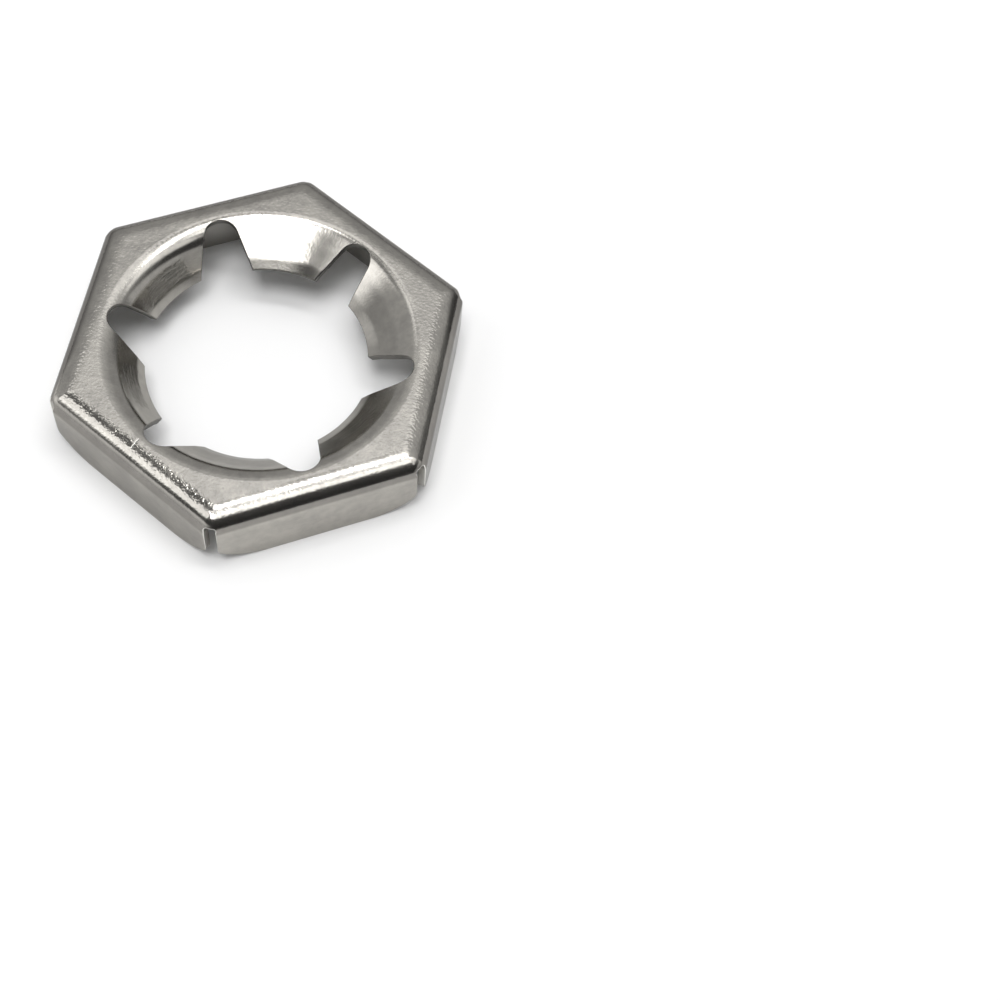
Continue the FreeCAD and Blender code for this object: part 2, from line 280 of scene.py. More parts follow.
def flange_end():
    """From the middle of a free edge to the middle of the slit: along the side, and height."""
    end = beside_slit(SLIT_HALF, 0)
    across = end - EDGE_CORNER - EDGE_FLAT
    centre_height = EDGE_RISE - math.sqrt((EDGE_RISE - EDGE_CORNER) ** 2 - across ** 2)
    lean = math.atan2(centre_height - EDGE_RISE, across)
    line = spaced((0, 0), (EDGE_FLAT, 0), COARSE)
    line += arc((EDGE_FLAT, EDGE_RISE), EDGE_RISE, -math.pi / 2, lean, EDGE_STEPS)
    line += arc((end - EDGE_CORNER, centre_height), EDGE_CORNER, lean, 0, CORNER_STEPS)
    line += spaced((end, centre_height), (end, SLIT_TOP - SLIT_ROUND), FINE)
    slit_flat = SLIT_HALF - SLIT_ROUND
    slit = arc((slit_flat, SLIT_TOP - SLIT_ROUND), SLIT_ROUND, 0, math.pi / 2, SLIT_STEPS)
    slit += [np.array([slit_flat, SLIT_TOP]), np.array([0.0, SLIT_TOP])]
    line += [np.array([beside_slit(gap, height), height]) for gap, height in slit]
    return line


END = flange_end()
outer = []
for side in range(6):
    rising = [on_blank(side, along, height) for along, height in END]
    falling = [on_blank(side, -along, height) for along, height in END[1:-1]]
    outer += falling[::-1] + rising
outer = np.array(outer)
print("outer outline:", len(outer), "points")

# %% [markdown]
# The inner outline goes round the six tongues. Between two tongues lies a slot with a round end,
# whose sides run straight to the corners of the tips.

# %% Outline of the tongues
ROUND_END_STEPS = 14
TIP_STEPS = 22


def tongue_on_blank(number, point):
    """Unfold a point of a tongue that is given in plan."""
    radius, turn = math.hypot(*point), math.atan2(point[1], point[0])
    _, radii, _ = SECTIONS[number % 6]
    if radius < FUNNEL:
        radius = FUNNEL - float(np.interp(-radius, -radii, ALONG))
    return np.array([radius * math.cos(turn), radius * math.sin(turn)])


def slot_side(number, hand):
    """The side of a slot from its round end to a tongue's tip, with the slot along X."""
    tip = SECTIONS[number % 6][1][-1]
    reach = math.sqrt(tip ** 2 - TIP_HALF ** 2)
    corner = np.array([reach * math.cos(STEP / 2) + TIP_HALF * math.sin(STEP / 2),
                       hand * (reach * math.sin(STEP / 2) - TIP_HALF * math.cos(STEP / 2))])
    centre = np.array([SLOT_CENTRE, 0])
    to_corner = corner - centre
    lean = math.atan2(abs(to_corner[1]), to_corner[0])
    square = lean - math.acos(SLOT_HALF / np.linalg.norm(to_corner))
    touch = centre + SLOT_HALF * np.array([math.cos(square), hand * math.sin(square)])
    return touch, corner, square


inner = []
for number in range(6):
    slot_turn = FIRST_TONGUE + (number + 0.5) * STEP
    touch, corner, square = slot_side(number, -1)
    points = spaced(corner, touch, FINE)
    points += arc((SLOT_CENTRE, 0), SLOT_HALF, -square, 0, ROUND_END_STEPS)
    inner += [tongue_on_blank(number, rotated(p, slot_turn)) for p in points]
    touch, corner, square = slot_side(number + 1, 1)
    points = arc((SLOT_CENTRE, 0), SLOT_HALF, 0, square, ROUND_END_STEPS)
    points += spaced(touch, corner, FINE)
    inner += [tongue_on_blank(number + 1, rotated(p, slot_turn)) for p in points]
    start = rotated(corner, slot_turn)
    tongue_turn = FIRST_TONGUE + (number + 1) * STEP
    spread = abs((math.atan2(start[1], start[0]) - tongue_turn + math.pi) % math.tau - math.pi)
    inner += arc((0, 0), FUNNEL - TONGUE, tongue_turn - spread, tongue_turn + spread, TIP_STEPS)
inner = np.array(inner)
print("inner outline:", len(inner), "points")

# %% [markdown]
# ## Triangulating the blank
# A constrained Delaunay triangulation fills any outline. Rows of points follow the bends and the
# rolls, where the sheet curves, and a plain grid fills the flat metal. The cut edges get a narrow
# strip of their own later, so the triangles stop a little inside the outline.

# %% Inset outlines
EDGE_TOP = 0.1
EDGE_UNDER = 0.05
SHARPEST = 0.3


def mitres(loop, hand):
    """For each point of a closed outline, the step that moves its two sides out by one."""
    ahead = np.roll(loop, -1, 0) - loop
    ahead /= np.linalg.norm(ahead, axis=1)[:, None]
    square = np.column_stack([ahead[:, 1], -ahead[:, 0]]) * hand
    total = square + np.roll(square, 1, 0)
    return total / np.maximum((total * square).sum(1), SHARPEST)[:, None]


def inside(points, loop):
    """Even-odd test of points against a closed outline."""
    odd = np.zeros(len(points), bool)
    for (x0, y0), (x1, y1) in zip(loop, np.roll(loop, -1, 0)):
        crosses = (y0 > points[:, 1]) != (y1 > points[:, 1])
        if y0 != y1:
            cut_x = x0 + (points[:, 1] - y0) * (x1 - x0) / (y1 - y0)
            odd ^= crosses & (points[:, 0] < cut_x)
    return odd


def distance_to(points, loop):
    """Distance from each point to the nearest corner of an outline."""
    best = np.full(len(points), np.inf)
    for corner in loop:
        best = np.minimum(best, np.hypot(*(points - corner).T))
    return best


outer_out = mitres(outer, 1)
inner_out = mitres(inner, -1)
print("steps outwards:", len(outer_out), "and", len(inner_out))

# %% Points inside the blank
ROW_GAP = 0.45
RING_GAP = 0.42
RING_STEP = 0.3
BEND_ROWS, FAN_ROWS, COLUMNS = 13, 7, 20
TONGUE_RINGS, ROLL_RINGS, FACE_RINGS = 14, 10, 13
BESIDE_BEND = (FAN_OUT - 0.25, FAN_OUT - 0.5, FAN_OUT - 0.75, BEND_START, BEND_START - 0.4)
# Rows stay clear of the corners, of the outlines and of each other.
CLEAR_START, CLEAR_END = 0.3, 0.1
CLEAR = 0.2
CLOSEST = 0.16
TINY = 0.01


def bend_rows(turn):
    """Rows of points along one side's bend and flange, and round its two corners."""
    made = []
    distances = list(np.linspace(0, BENT_LENGTH - FAN_START, BEND_ROWS))
    distances += list(np.arange(distances[-1] + ROW_GAP, FREE_EDGE - FAN_START, ROW_GAP))
    for distance in distances:
        for along in np.arange(-HALF_SIDE, HALF_SIDE + TINY, HALF_SIDE / COLUMNS):
            made.append(rotated((FAN_OUT + distance, along), turn))
        for fan in np.linspace(0, STEP / 2, FAN_ROWS)[1:]:
            for hand in (-1, 1):
                # The next side makes the row that both sides share.
                if hand < 0 and fan > STEP / 2 - TINY:
                    continue
                along = hand * (HALF_SIDE + distance * math.sin(fan))
                made.append(rotated((FAN_OUT + distance * math.cos(fan), along), turn))
    return made


def face_rows(turn):
    """Rows of points beside the start of one side's bend."""
    made = []
    for out in BESIDE_BEND:
        half = out * math.tan(STEP / 2)
        for along in np.arange(-half + CLEAR_START, half - CLEAR_END, ROW_GAP):
            made.append(rotated((out, along), turn))
    return made


def rings():
    """Circles of points down the tongues, round the roll and over the flat face."""
    radii = [FUNNEL - TONGUE + RING_STEP + RING_STEP * i for i in range(TONGUE_RINGS)]
    radii += [FUNNEL - ROLL * i / ROLL_RINGS for i in range(ROLL_RINGS)]
    radii += [FUNNEL + RING_STEP * i for i in range(1, FACE_RINGS + 1)]
    made = []
    for radius in radii:
        count = round(math.tau * radius / RING_GAP)
        made += [rotated((radius, 0), math.tau * i / count) for i in range(count)]
    return made


rows = []
for side in range(6):
    rows += bend_rows(side * STEP) + face_rows(side * STEP)
rows = np.array(rows + rings())
rows = rows[inside(rows, outer) & ~inside(rows, inner)]
rows = rows[(distance_to(rows, outer) > CLEAR) & (distance_to(rows, inner) > CLEAR)]
_, keep = np.unique(np.round(rows / CLOSEST), axis=0, return_index=True)
rows = rows[np.sort(keep)]
print("inner points:", len(rows))

# %% Triangulation
WHOLE_HULL, WELD = 0, 1e-7
outer_edge = outer - outer_out * EDGE_TOP
inner_edge = inner - inner_out * EDGE_TOP
flat = np.vstack([outer_edge, inner_edge, rows])
first_inner, first_row = len(outer), len(outer) + len(inner)
links = [(i, (i + 1) % first_inner) for i in range(first_inner)]
links += [(first_inner + i, first_inner + (i + 1) % len(inner)) for i in range(len(inner))]
found, _, triangles, origins, *_ = delaunay_2d_cdt(
    [Vector(p) for p in flat], links, [], WHOLE_HULL, WELD)
assert len(found) == len(flat), (len(found), len(flat))
same = [origin[0] for origin in origins]
triangles = np.array([[same[v] for v in t] for t in triangles if len(t) == 3])
centres = flat[triangles].mean(1)
triangles = triangles[inside(centres, outer_edge) & ~inside(centres, inner_edge)]
print("triangles on one face:", len(triangles))

# %% [markdown]
# ## From blank to solid sheet
# The upper face and the face under it share the triangles. Round the cut edges runs a narrow strip
# that first rounds over, then goes straight through the sheet: the press leaves it like that.

# %% Fold the two faces and the cut edges
# Each row of the strip has an inset from the outline and a depth below the upper face.
QUARTER = np.linspace(0, math.pi / 2, 4)
THROUGH = (0.3, 0.5, 0.7)
STRIP = [(EDGE_TOP * (1 - math.sin(b)), EDGE_TOP * (1 - math.cos(b))) for b in QUARTER]
STRIP += [(0.0, GAUGE * share) for share in THROUGH]
STRIP += [(EDGE_UNDER * (1 - math.cos(b)), GAUGE - EDGE_UNDER * (1 - math.sin(b)))
          for b in QUARTER]
# What the material is told: 1 on a cut face, less on its rounded rims.
CUT_FACE, CUT_RIM = 1.0, 0.3

top, top_normal = fold(flat)
under_flat = flat.copy()
under_flat[:first_inner] = outer - outer_out * EDGE_UNDER
under_flat[first_inner:first_row] = inner - inner_out * EDGE_UNDER
under, under_normal = fold(under_flat)
under = under - under_normal * GAUGE
vertices = [top, under]
shears = [np.zeros(len(top)), np.zeros(len(under))]
blanks = [flat, under_flat]
faces = [tuple(t) for t in triangles]
faces += [tuple(len(top) + v for v in t[::-1]) for t in triangles]
count = 2 * len(flat)
for loop, out, offset, hand in ((outer, outer_out, 0, 1), (inner, inner_out, first_inner, -1)):
    size = len(loop)
    levels = [np.arange(size) + offset]
    for inset, depth in STRIP[1:-1]:
        folded, normal = fold(loop - out * inset)
        straight = 0.5 * EDGE_TOP < depth < GAUGE - 0.5 * EDGE_UNDER
        vertices.append(folded - normal * depth)
        shears.append(np.full(size, CUT_FACE if straight else CUT_RIM))
        blanks.append(loop - out * inset)
        levels.append(np.arange(size) + count)
        count += size
    levels.append(np.arange(size) + offset + len(top))
    for upper, lower in zip(levels, levels[1:]):
        for i in range(size):
            j = (i + 1) % size
            faces.append((upper[i], lower[i], lower[j], upper[j])[::hand])
vertices = np.vstack(vertices) * MM
print("folded:", len(vertices), "points,", len(faces), "faces")

# %% Build the mesh
sheet_mesh = bpy.data.meshes.new("nut_sheet")
sheet_mesh.from_pydata(vertices.tolist(), [], [tuple(int(v) for v in f) for f in faces])
sheet_mesh.validate()
sheet_mesh.polygons.foreach_set("use_smooth", [True] * len(sheet_mesh.polygons))
print("nut_sheet mesh:", len(sheet_mesh.polygons), "faces after the check")

# %% [markdown]
# ## What the material needs to know
# The finish follows the making: sheared faces, rubbed tongues, the duller inner face. The mesh
# knows all that, so it stores a few numbers per point, and the material reads them by name.
# PRESSED says how hard the punch marked each tongue.

# %% Store numbers on the mesh
PRESSED = np.array([1.0, 0.8, 0.25, 0.25, 0.0, 0.4])
ON_BLANK = ("run", "across", "along", "pressed")


def keep_on_mesh(name, values):
    """Store one number per point, for the material to read."""
    sheet_mesh.attributes.new(name, "FLOAT", "POINT").data.foreach_set("value", values)


def marks(points):
    """For points of the blank: how far down and across a tongue, and along a side, and its mark."""
    radius, turn = np.hypot(*points.T), np.arctan2(points[:, 1], points[:, 0])
    past_tongue = (turn - FIRST_TONGUE + STEP / 2) % STEP - STEP / 2
    past_side = (turn + STEP / 2) % STEP - STEP / 2
    return (np.maximum(FUNNEL - radius, 0), radius * np.sin(past_tongue),
            radius * np.sin(past_side), PRESSED[tongue_number(turn)])


keep_on_mesh("shear", np.concatenate(shears))
for name, values in zip(ON_BLANK, marks(np.vstack(blanks))):
    keep_on_mesh(name, values)
is_inner = np.zeros(len(vertices))
is_inner[len(top):2 * len(top)] = 1
keep_on_mesh("inner_face", is_inner)
print("stored:", [a.name for a in sheet_mesh.attributes if a.data_type == "FLOAT"])

# %% [markdown]
# The folding formula also gives the exact direction that each point of the two faces looks in. Set
# as the mesh's own normals, these make the reflections run without a ripple over the triangles.

# %% Exact normals, and the finished piece
sheet_mesh.update()
normals = np.array([v.vector[:] for v in sheet_mesh.vertex_normals])
normals[:len(top)] = top_normal
normals[len(top):2 * len(top)] = -under_normal
sheet_mesh.normals_split_custom_set_from_vertices(normals.tolist())
nut = bpy.data.objects.new("nut_sheet", sheet_mesh)
bpy.context.collection.objects.link(nut)
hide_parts("lock_nut")
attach(nut, "root")
print("nut_sheet:", len(vertices), "points,", len(faces), "faces")

# %% [markdown]
# ## Writing shader maths as sentences
# A procedural finish is a lot of small sums. Wiring each one by hand hides the idea, so a small
# class wraps a node's output and lets Python's own operators add the Math nodes.

# %% A wrapped socket with operators


class Wire:
    """A node output that can be used in sums of numbers."""

    def __init__(self, tree, socket):
        self.tree = tree
        self.socket = socket

    def __add__(self, other):
        return maths("ADD", self, other)

    def __radd__(self, other):
        return maths("ADD", other, self)

    def __sub__(self, other):
        return maths("SUBTRACT", self, other)

    def __rsub__(self, other):
        return maths("SUBTRACT", other, self)

    def __mul__(self, other):
        return maths("MULTIPLY", self, other)

    def __rmul__(self, other):
        return maths("MULTIPLY", other, self)

    def __truediv__(self, other):
        return maths("DIVIDE", self, other)

    def __rtruediv__(self, other):
        return maths("DIVIDE", other, self)


def node(tree, kind, settings=None, inputs=None, output=0):
    """Add a node of any kind: its settings first, then the values or links of its sockets."""
    made = tree.nodes.new(kind)
    for name, setting in (settings or {}).items():
        if name == "stops":
            ramp = made.color_ramp
            while len(ramp.elements) < len(setting):
                ramp.elements.new(0.5)
            for element, (position, colour) in zip(ramp.elements, setting):
                element.position = position
                element.color = colour
        else:
            setattr(made, name, setting)
    for name, given in (inputs or {}).items():
        if isinstance(given, Wire):
            tree.links.new(given.socket, made.inputs[name])
        else:
            made.inputs[name].default_value = given
    return None if output is None else Wire(tree, made.outputs[output])


def maths(operation, *terms):
    """A Math node on numbers and wires, of which at least one is a wire."""
    tree = next(term.tree for term in terms if isinstance(term, Wire))
    return node(tree, "ShaderNodeMath", {"operation": operation}, dict(enumerate(terms)))


print("a Wire can be used with + - * and /")

# %% [markdown]
# Three more words are used all the time: a smooth step, a band between two smooth steps, and how
# far a vector goes along a line.

# %% Smooth steps, bands and directions


def soft(value, low, high):
    """0 below low, 1 above high, and a smooth change between."""
    return node(value.tree, "ShaderNodeMapRange", {"interpolation_type": "SMOOTHSTEP"},
                {"Value": value, "From Min": low, "From Max": high})


def band(value, rise, fall):
    """1 between a rise and a fall, each given by where it starts and ends."""
    return soft(value, *rise) * (1 - soft(value, *fall))


def far_along(vector, line):
    """How far a vector goes along a line."""
    return node(vector.tree, "ShaderNodeVectorMath", {"operation": "DOT_PRODUCT"},
                {0: vector, 1: tuple(line)}, output="Value")


def emptied(owner):
    """The node tree of a material or a world, with nothing in it."""
    owner.use_nodes = True
    owner.node_tree.nodes.clear()
    return owner.node_tree


print("helpers:", soft.__name__, band.__name__, far_along.__name__)

# %% [markdown]
# ## The camera
# The photograph looks down at the nut at about 61 degrees from 180 mm away, with the picture
# turned a little. A pinhole camera fitted to the corners of the nut gives these numbers. The
# Standard view transform shows colours as they are, without a film look over them.

# %% Camera
FOCAL_PIXELS = 1795.485
PICTURE = 1000
CAMERA_AT = (28.76, -91.26, 151.75)
CAMERA_LOOKS = (-0.0208, 0.4788, -0.8777)
CAMERA_ROLL = math.radians(-8.123)
camera_data = bpy.data.cameras.new("camera")
camera_data.sensor_width = 36
camera_data.lens = FOCAL_PIXELS / PICTURE * camera_data.sensor_width
camera_data.clip_start = 0.01
camera = bpy.data.objects.new("camera", camera_data)
bpy.context.collection.objects.link(camera)

forward = Vector(CAMERA_LOOKS).normalized()
level = forward.cross(Vector((0, 0, 1))).normalized()
right = Matrix.Rotation(CAMERA_ROLL, 4, forward) @ level
up = right.cross(forward)
aim = Matrix((right, up, -forward)).transposed().to_4x4()
camera.matrix_world = Matrix.Translation(Vector(CAMERA_AT) * MM) @ aim
bpy.context.scene.camera = camera
bpy.context.scene.view_settings.view_transform = "Standard"
print("camera at", [round(v, 4) for v in camera.matrix_world.translation])

# %% [markdown]
# ## The paper under the nut
# The nut lies on bright white paper that keeps a soft shadow. A large plain sheet does it. It is
# diffuse, and a trace of light of its own keeps it from going grey far out.

# %% Floor
FLOOR_REACH = 4.0
PAPER_WHITE = 0.93
OWN_LIGHT = 0.02
floor_mesh = bpy.data.meshes.new("floor")
floor_mesh.from_pydata(
    [(x * FLOOR_REACH, y * FLOOR_REACH, 0) for x, y in ((-1, -1), (1, -1), (1, 1), (-1, 1))],
    [], [(0, 1, 2, 3)])
floor = bpy.data.objects.new("floor", floor_mesh)
bpy.context.collection.objects.link(floor)

paper = bpy.data.materials.new("white_paper")
paper_tree = emptied(paper)
lit = node(paper_tree, "ShaderNodeBsdfDiffuse",
           inputs={"Color": (PAPER_WHITE, PAPER_WHITE, PAPER_WHITE, 1)})
glow = node(paper_tree, "ShaderNodeEmission", inputs={"Color": (1, 1, 1, 1), "Strength": 1})
seen = node(paper_tree, "ShaderNodeLightPath", output="Is Camera Ray")
mirrored = node(paper_tree, "ShaderNodeLightPath", output="Is Glossy Ray")
mixed = node(paper_tree, "ShaderNodeMixShader",
             inputs={0: (seen + mirrored) * OWN_LIGHT, 1: lit, 2: glow})
node(paper_tree, "ShaderNodeOutputMaterial", inputs={"Surface": mixed}, output=None)
floor.data.materials.append(paper)
print("the paper reaches", FLOOR_REACH, "m each way")

# %% [markdown]
# ## The light
# A small metal part shows its surroundings more than its own colour. Lamps would light the paper
# but leave the steel black between their glints, so the light is a room drawn in the world: each
# part of it is a soft patch of directions. The same patches give the reflections and the shadow.
# A window hangs overhead, with one corner cut off. A bar across it makes the thin line in the
# highlight of the front bend, and one of its panes is dimmer.

# %% The window overhead
WINDOW_LIGHT = 9.2
# Each soft edge of the window starts and ends at a slope away from straight up.
WINDOW_ASIDE = (-0.30, -0.21), (0.40, 0.50)
WINDOW_AHEAD = (-0.48, -0.38), (0.20, 0.27)
SLANT_EDGE = (0.44, 0.51)
BAR_AHEAD, BAR_EDGE, BAR_DARK = 0.03, (0.055, 0.10), 0.98
PANE_EDGE, PANE_DARK = (0.02, 0.12), 0.73
LOWEST = 0.05
studio = bpy.data.worlds.new("studio")
bpy.context.scene.world = studio
sky_tree = emptied(studio)
direction = node(sky_tree, "ShaderNodeTexCoord", output="Generated")


def towards(aim_at):
    """How much a direction of the room agrees with this one, from -1 to 1."""
    return far_along(direction, Vector(aim_at).normalized())


east, north, height_up = towards((1, 0, 0)), towards((0, 1, 0)), towards((0, 0, 1))
above = maths("MAXIMUM", height_up, LOWEST)
aside, ahead = east / above, north / above
window = (band(aside, *WINDOW_ASIDE) * band(ahead, *WINDOW_AHEAD)
          * (1 - soft(0.57 * aside - 0.82 * ahead, *SLANT_EDGE)))
bar = 1 - soft(maths("ABSOLUTE", ahead - BAR_AHEAD), *BAR_EDGE)
dim_pane = soft(aside, *PANE_EDGE) * (1 - soft(ahead, *PANE_EDGE))
window = WINDOW_LIGHT * window * (1 - BAR_DARK * bar) * (1 - PANE_DARK * dim_pane)
print("the window has a strength of", WINDOW_LIGHT)

# %% [markdown]
# The flat face mirrors the far wall. It grows lighter higher up, with a darker gap below the
# window and a darker corner at the right. The near side, where the viewer stands, has next to no
# light, and that gives the dark line under the highlight of the front bend.

# %% The far wall
NEAR_SIDE = 0.06
# What each step up the wall adds to the light, and between which heights.
WALL_STEPS = ((0.4, 0.0, 0.07), (0.2, 0.5, 0.8), (1.0, 0.825, 0.87))
GAP_DARK, CORNER_DARK = 0.9, 0.75
far_side = soft(towards((-0.15, 1, 0)), -0.35, 0.5)
far_wall = 0.1 * soft(towards((-0.16, 0.6, 0.785)), 0.983, 0.996)
for added, low, high in WALL_STEPS:
    far_wall = far_wall + added * soft(height_up, low, high)
dark_gap = (soft(height_up - 0.29 * east + 0.03 * soft(east, -0.17, -0.11), 0.945, 0.965)
            * (1 - soft(east, -0.24, -0.20) * (1 - soft(east, -0.14, -0.10))))
far_corner = soft(towards((0.96, 0.28, 0)), 0.70, 0.92) * (1 - soft(height_up, 0.42, 0.6))
room = (NEAR_SIDE + far_side * far_wall * (1 - GAP_DARK * dark_gap)
        * (1 - CORNER_DARK * far_corner))
print("the near side of the room has a strength of", NEAR_SIDE)

# %% [markdown]
# Small lights at the left make the glints on the tongues, and low walls at both sides light the
# flanges. Each small light is a round patch: where it is, how soft its edge is, and its strength.

# %% Side lights
SMALL_LIGHTS = {
    "lamp": ((-0.57, -0.15, 0.805), (0.968, 0.988), 1.9),
    "second lamp": ((-0.76, -0.2, 0.62), (0.98, 0.998), 1.2),
    "strip": ((-0.42, 0.36, 0.83), (0.992, 0.998), 1.3),
    "side": ((-0.97, 0.05, 0.2), (0.75, 0.95), 0.1),
}
right_wall = (1 - soft(north, 0.3, 0.42)) * (
    1.3 * soft(east, 0.44, 0.5) * soft(height_up, 0.66, 0.74) * soft(north, -0.4, -0.3)
    + 0.6 * soft(east, 0.64, 0.76) * (1 - soft(height_up - 0.3 * north, 0.36, 0.46)))
left_wall = soft(towards((-0.84, -0.54, 0.0)), 0.5, 0.9) * (1 - soft(height_up, 0.38, 0.5))
light = room + window + right_wall + left_wall
for aim_at, edge, strength in SMALL_LIGHTS.values():
    light = light + strength * soft(towards(aim_at), *edge)
sky = node(sky_tree, "ShaderNodeBackground", inputs={"Color": (1, 1, 1, 1), "Strength": light})
node(sky_tree, "ShaderNodeOutputWorld", inputs={"Surface": sky}, output=None)
print("small lights at the left:", list(SMALL_LIGHTS))

# %% [markdown]
# ## The steel
# Stainless sheet that was tumbled after pressing is satin: a fine random grain spreads its
# reflections a little. It isn't even, so clouds of noise vary its colour and roughness. The noise
# is read in millimetres at the place on the nut, so it keeps its scale and needs no unwrapping.

# %% Places on the nut, and noise
steel = bpy.data.materials.new("satin_stainless")
steel_tree = emptied(steel)
in_metres = node(steel_tree, "ShaderNodeTexCoord", output="Object")
spot = node(steel_tree, "ShaderNodeVectorMath", {"operation": "SCALE"},
            {0: in_metres, "Scale": 1 / MM})


def noise(where, scale, detail=2.0, roughness=0.5):
    """A cloud between 0 and 1, with this many waves to a millimetre."""
    return node(steel_tree, "ShaderNodeTexNoise", {},
                {"Vector": where, "Scale": scale, "Detail": detail, "Roughness": roughness})


def kept(name):
    """A number that the mesh keeps under this name."""
    return node(steel_tree, "ShaderNodeAttribute", {"attribute_name": name}, output="Fac")


def triple(x, y, z):
    """Three numbers as one vector."""
    return node(steel_tree, "ShaderNodeCombineXYZ", inputs={"X": x, "Y": y, "Z": z})


grain = noise(spot, 3.8, 1.0, 0.5)
cloud = noise(spot, 0.3, 2.0)
mottled = 0.5 * cloud + 0.5 * noise(spot, 1.1, 3.0, 0.65)
print("noises so far:", sum(n.bl_idname == "ShaderNodeTexNoise" for n in steel_tree.nodes))

# %% [markdown]
# The finish differs from place to place: the flat face, the tongues, the bends, the cut edges and
# the inner face. Each place is a mask between 0 and 1, made of heights, distances and the numbers
# kept on the mesh.

# %% Masks
SLOT_REACH = (15.5, 16.0)
FLANGE_TOP = (5.0, 5.6)
# The direction of the front side, and how far out along it the side starts and is full.
FRONT, FRONT_FROM = (0.5, -0.866, 0.0), (15.3, 15.8)
run, across, along, pressed = (kept(name) for name in ON_BLANK)
shear, inner_face = kept("shear"), kept("inner_face")
up_there = node(steel_tree, "ShaderNodeSeparateXYZ", inputs={"Vector": spot}, output="Z")
in_plan = node(steel_tree, "ShaderNodeVectorMath", {"operation": "MULTIPLY"},
               {0: spot, 1: (1, 1, 0)})
from_axis = node(steel_tree, "ShaderNodeVectorMath", {"operation": "LENGTH"}, {0: in_plan},
                 output="Value")
outer_face = 1 - inner_face
on_face = soft(up_there, HEIGHT - 0.5, HEIGHT - 0.05)
on_tongue = soft(run, 0.0, 0.3)
off_tongue = 1 - on_tongue
on_flange = 1 - soft(up_there, *FLANGE_TOP)
turning = band(up_there, (HEIGHT - 0.5, HEIGHT - 0.3), (HEIGHT - 0.03, HEIGHT))
at_slits = soft(from_axis, *SLOT_REACH)
smooth_side = soft(far_along(spot, FRONT), *FRONT_FROM)
crease = (on_face * (1 - soft(up_there, HEIGHT - 0.012, HEIGHT - 0.002))
          * soft(from_axis, 14.6, 15.2))
print("numbers read from the mesh:", *ON_BLANK, "shear", "inner_face")

# %% [markdown]
# ## Marks of making and wear
# The punch left rubbed, ragged patches on the middles of some tongues. One bend has a short
# scratch and another a nick. They are drawn as masks too, and change colour, gloss and relief
# together, as a real mark does.

# %% Press marks, a scratch and a nick
SCRATCH = ((-8.42, -12.95, 7.2), (-8.8, -13.85, 7.08), 0.12)
NICK = ((8.15, -15.75, 6.42), (8.24, -15.7, 6.42), 0.14)
MARK_DOWN = ((2.7, 3.0), (4.45, 4.7))
MARK_EDGE = (2.1, 2.5)


def near_line(start, end, width):
    """1 on the line between two places and 0 beyond its width."""
    line = Vector(end) - Vector(start)
    off = node(steel_tree, "ShaderNodeVectorMath", {"operation": "SUBTRACT"}, {0: spot, 1: start})
    share = far_along(off, line / line.length_squared)
    held = maths("MINIMUM", maths("MAXIMUM", share, 0.0), 1.0)
    foot = node(steel_tree, "ShaderNodeVectorMath", {"operation": "SCALE"},
                {0: tuple(line), "Scale": held})
    gone = node(steel_tree, "ShaderNodeVectorMath", {"operation": "DISTANCE"}, {0: off, 1: foot},
                output="Value")
    return 1 - soft(gone, width * 0.3, width)


rubbed = noise(triple(across * 0.6, run * 5.0, 0.0), 1.0, 2.0, 0.6)
ragged = (noise(spot, 1.6, 1.0) - 0.5) * 0.9
from_middle = maths("ABSOLUTE", across)
mark = (pressed * band(run + ragged, *MARK_DOWN) * (1 - soft(from_middle + ragged, *MARK_EDGE))
        * outer_face)
scratch = near_line(*SCRATCH)
nick = near_line(*NICK)
print("tongues marked by the punch:", int((PRESSED > 0).sum()))

# %% [markdown]
# ## The colour
# A metal's colour is what it mirrors back. Steel is a warm grey, here a little mottled. Layers go
# over it one by one: bright cut faces, but dark ones round the slots, where the punch tears the
# metal; a band of painted shade round the outer bend; a painted highlight on the rims of the
# slits; the duller inner face; painted shade down the slopes of the tongues; and the marks. The
# painted shade on the bend is stronger and reaches higher on the far sides.

# %% Colour in layers
MOTTLES = [(0.36, (0.375, 0.36, 0.335, 1)), (0.62, (0.475, 0.457, 0.42, 1))]
CUT_COLOUR = (0.50, 0.49, 0.465, 1)
TORN_COLOUR = (0.13, 0.125, 0.115, 1)
BEND_SHADE_COLOUR = (0.13, 0.123, 0.115, 1)
RIM_HIGHLIGHT_COLOUR = (0.85, 0.84, 0.80, 1)
INNER_COLOUR = (0.44, 0.43, 0.405, 1)
# Dark tone of the press marks, also used for the painted shade on the tongues' slopes.
RUBBED_AND_SLOPE_SHADE_COLOUR = (0.17, 0.165, 0.15, 1)
BARED_COLOUR = (0.75, 0.74, 0.7, 1)
BEND_SHADE_FROM, BEND_SHADE_TO = (5.3, 5.7), (6.35, 6.65)
FAR, FAR_FROM = (-0.35, 0.94, 0.0), (-4.0, 2.0)


def over(under_it, colour, share):
    """Lay a colour over what is there, by this share."""
    return node(steel_tree, "ShaderNodeMix", {"data_type": "RGBA"},
                {"Factor": share, 6: under_it, 7: colour}, output=2)


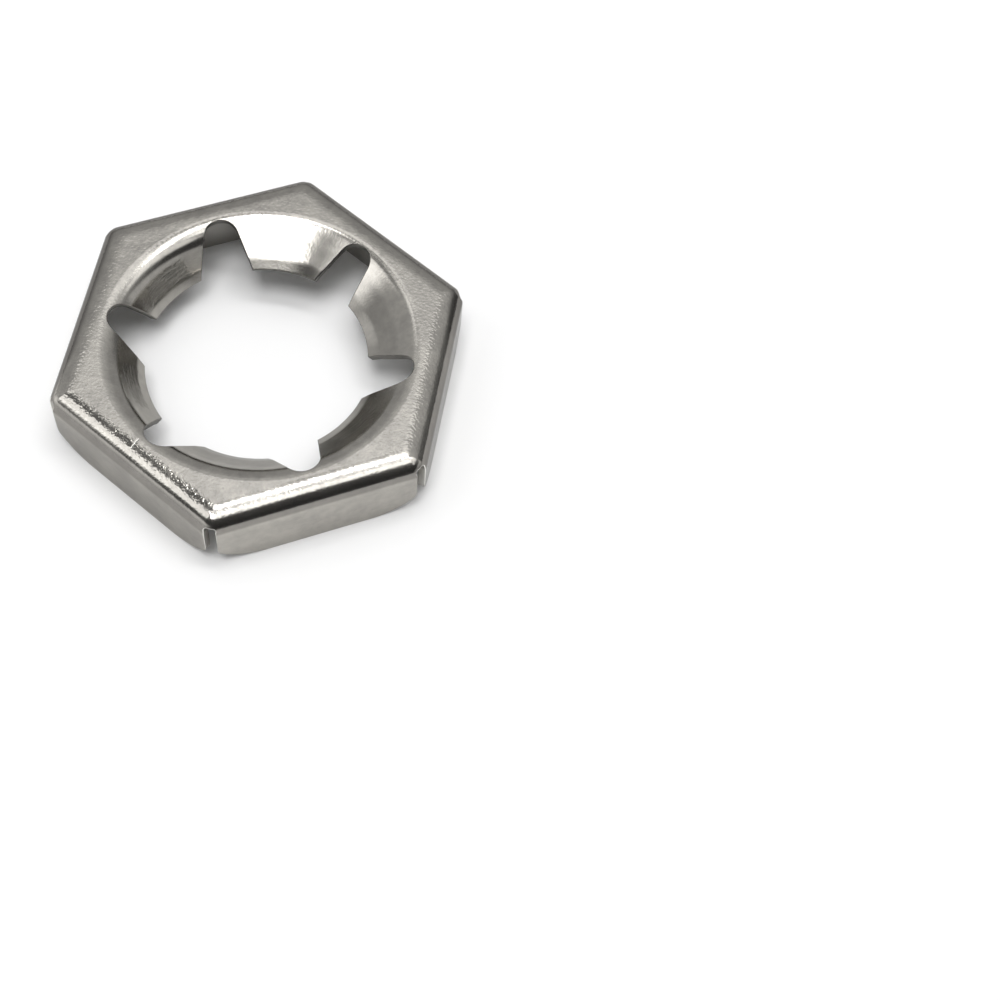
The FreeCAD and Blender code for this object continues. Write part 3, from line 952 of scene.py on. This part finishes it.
torn = 0.8 * soft(shear, 0.02, 0.2) * (1 - at_slits)
far_bend = soft(far_along(spot, FAR), *FAR_FROM)
# Painted shade: a darker band round the outer bend, stronger and higher on the far sides.
painted_bend_shade = (soft(up_there, *BEND_SHADE_FROM)
             * (1 - soft(up_there - 0.4 * far_bend, *BEND_SHADE_TO))
             * off_tongue * (0.6 + 0.2 * far_bend))
# Painted highlight: a bright line along the rounded rims of the slits.
painted_rim_highlight = band(shear, (0.05, 0.25), (0.4, 0.7)) * at_slits
# Painted shade down the slopes of the tongues.
slope_shade = 0.25 * soft(run, 2.2, 3.0) * outer_face
rubbed_shade = mark * (0.3 + 0.4 * (1 - soft(rubbed, 0.4, 0.62)))
colour = node(steel_tree, "ShaderNodeValToRGB", {"stops": MOTTLES}, {"Fac": mottled})
for tone, share in ((CUT_COLOUR, shear * 0.8), (TORN_COLOUR, torn), (BEND_SHADE_COLOUR, painted_bend_shade),
                    (RIM_HIGHLIGHT_COLOUR, painted_rim_highlight), (INNER_COLOUR, inner_face),
                    (RUBBED_AND_SLOPE_SHADE_COLOUR, maths("MAXIMUM", slope_shade, rubbed_shade)),
                    (BARED_COLOUR, (scratch + nick) * 0.6)):
    colour = over(colour, tone, share)
print("colour layers:", sum(n.bl_idname == "ShaderNodeMix" for n in steel_tree.nodes))

# %% [markdown]
# ## Gloss and relief
# The creases where the bends start were pressed glossy, and the grain is fainter on the front
# side. The inner face and the cut faces are rougher. The relief is a few hundredths of a
# millimetre deep: the grain, fine streaks that the die left along the flanges, the press marks,
# the scratch and the nick.

# %% Gloss, relief and the finished steel
RELIEF = 0.00002
FRESNEL_TINT = 0.6
rough = (0.13 + 0.08 * cloud + 0.04 * on_face - 0.08 * crease * (1 - 0.7 * smooth_side)
         + 0.25 * shear + 0.25 * inner_face + 0.08 * mark)
streaks = noise(triple(along * 0.3, up_there * 5.0, 0.0), 1.0, 1.0)
grain_height = ((0.4 + 0.45 * on_face + 0.5 * turning) * (1 - 0.65 * on_tongue)
                * (1 - 0.5 * smooth_side) + 0.5 * mark)
relief = (grain_height * grain + 0.8 * streaks * on_flange * outer_face * off_tongue
          + mark * (0.8 * rubbed - 1.0) - 2.0 * scratch - 3.0 * nick)
bump = node(steel_tree, "ShaderNodeBump",
            inputs={"Strength": 1.0, "Distance": RELIEF, "Height": relief})
metal = node(steel_tree, "ShaderNodeBsdfPrincipled",
             inputs={"Base Color": colour, "Metallic": 1.0, "Roughness": rough,
                     "Specular Tint": (FRESNEL_TINT, FRESNEL_TINT, FRESNEL_TINT, 1),
                     "Normal": bump})
node(steel_tree, "ShaderNodeOutputMaterial", inputs={"Surface": metal}, output=None)
nut.data.materials.append(steel)
print("satin_stainless:", len(steel_tree.nodes), "nodes")
